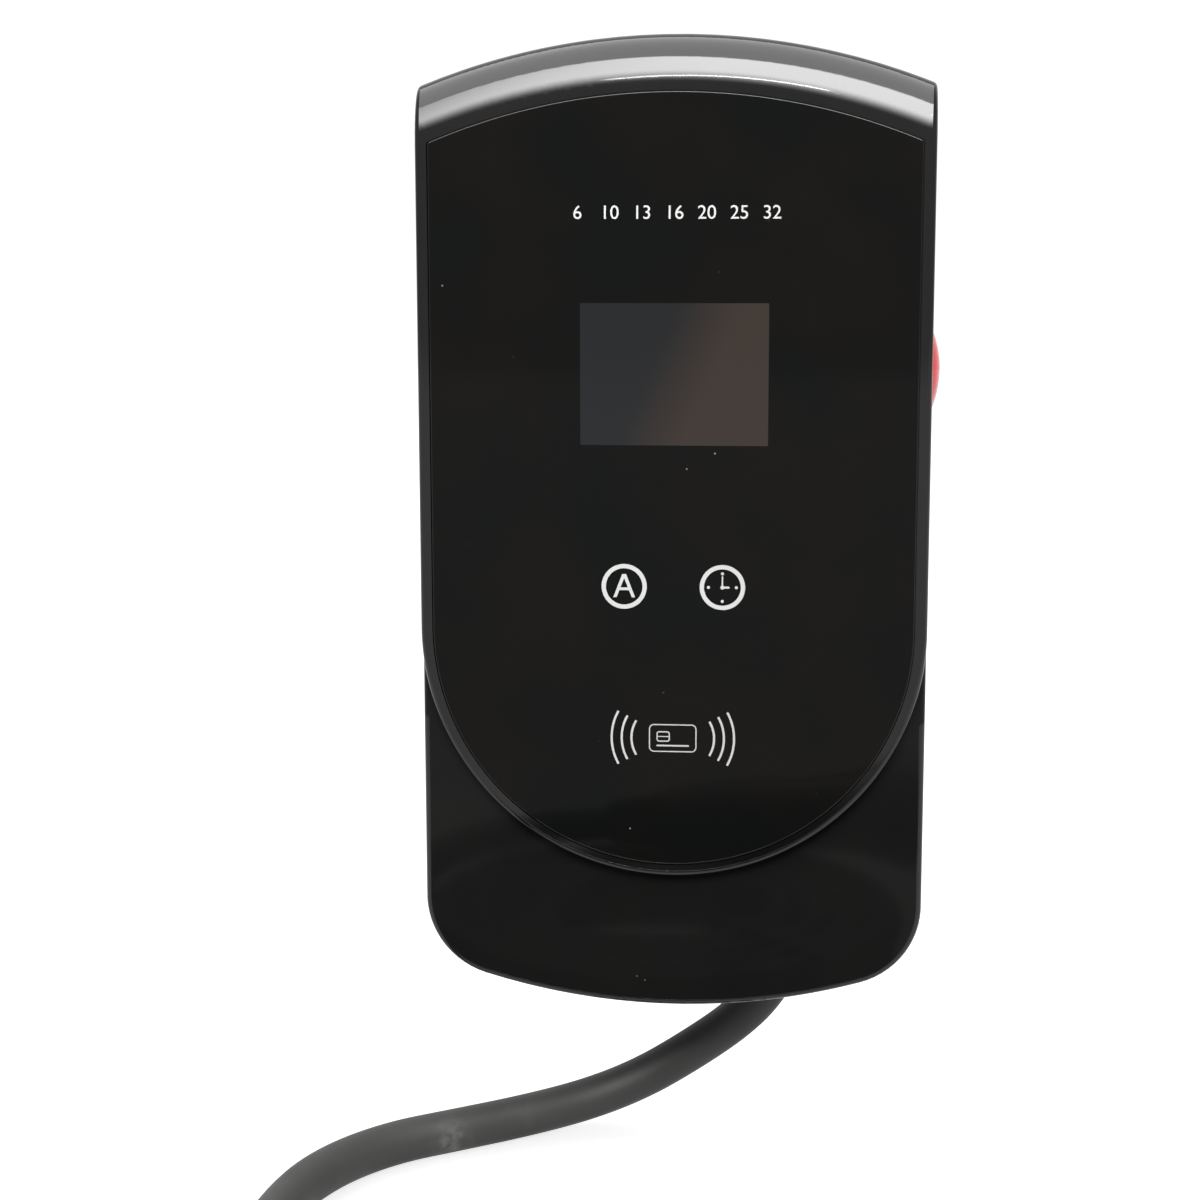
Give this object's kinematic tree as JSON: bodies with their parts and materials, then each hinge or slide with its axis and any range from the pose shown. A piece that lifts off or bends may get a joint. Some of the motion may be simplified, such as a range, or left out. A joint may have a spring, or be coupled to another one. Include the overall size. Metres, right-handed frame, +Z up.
{
  "type": "ev wallbox",
  "caption": "Wall-mounted charging station for electric cars: gloss black box with a touch panel, side emergency stop, wall bracket, and a tethered cable coiled with its connector.",
  "frame": {"origin": "centre of the four wall screws, on the wall's face behind the bracket", "axes": "+X to the right seen from the front, +Y into the wall, +Z up"},
  "size_m": [0.3051, 0.483, 0.4347],
  "materials": {
    "gloss_black": "high gloss moulded black",
    "panel_black": "gloss black acrylic, printed behind",
    "matt_black": "fine textured black",
    "rubber": "matt black",
    "cable_grey": "matt dark grey jacket",
    "zinc_steel": "zinc plated",
    "bracket_black": "black powder coat",
    "board_green": "green solder mask",
    "display_dark": "unlit display",
    "antenna_amber": "copper on amber film",
    "ribbon_grey": "grey ribbon",
    "brass": "turned",
    "can_silver": "drawn can",
    "terminal_grey": "moulded grey",
    "sensor_blue": "potted blue case",
    "core_brown": "insulated wire",
    "stop_red": "gloss red",
    "stop_stem_grey": "moulded grey",
    "contact_grey": "moulded grey",
    "strap_black": "woven strap",
    "contact_silver": "silver plated"
  },
  "bodies": {
    "station": {"upper_cover": "gloss_black", "front_housing": "gloss_black", "touch_panel": "panel_black", "rear_housing": "matt_black", "stop_collar": "matt_black", "stop_nut": "matt_black", "output_gland_body": "matt_black", "output_gland_locknut": "matt_black", "output_gland_nut": "matt_black", "supply_gland_body": "matt_black", "supply_gland_locknut": "matt_black", "supply_gland_nut": "matt_black", "connector_upper_shell": "matt_black", "connector_lower_shell": "matt_black", "connector_carrier": "matt_black", "relays": "matt_black", "power_supply": "matt_black", "housing_gasket": "rubber", "stop_seal": "rubber", "output_gland_seal": "rubber", "supply_gland_seal": "rubber", "connector_boot": "rubber", "charging_cable": "cable_grey", "cable_coil": "cable_grey", "cable_tail": "cable_grey", "housing_screws": "zinc_steel", "cover_screws": "zinc_steel", "front_board_screws": "zinc_steel", "board_screws": "zinc_steel", "bracket_screws": "zinc_steel", "connector_screws": "zinc_steel", "stop_spring": "zinc_steel", "wall_bracket": "bracket_black", "front_board": "board_green", "main_board": "board_green", "display_module": "display_dark", "reader_antenna": "antenna_amber", "ribbon_cable": "ribbon_grey", "board_standoffs": "brass", "capacitors": "can_silver", "supply_terminals": "terminal_grey", "output_terminals": "terminal_grey", "residual_sensor": "sensor_blue", "output_conductors": "core_brown", "stop_contacts": "contact_grey", "coil_tie": "strap_black", "connector_contacts": "contact_silver"},
    "stop_stem": {"stop_plunger": "stop_stem_grey"},
    "stop_button": {"stop_head": "stop_red"}
  },
  "joints": [
    {"name": "stop_press", "type": "slide", "parent": "station", "child": "stop_stem", "axis": [-1, 0, 0], "range_m": [0, 0.004], "stiffness_N_per_m": 1500, "deforming": ["stop_spring"]},
    {"name": "stop_release_twist", "type": "hinge", "parent": "stop_stem", "child": "stop_button", "pos_m": [0.095, -0.036, 0.0582], "axis": [-1, 0, 0], "range_deg": [0, 45], "stiffness_Nm_per_rad": 0.1}
  ]
}
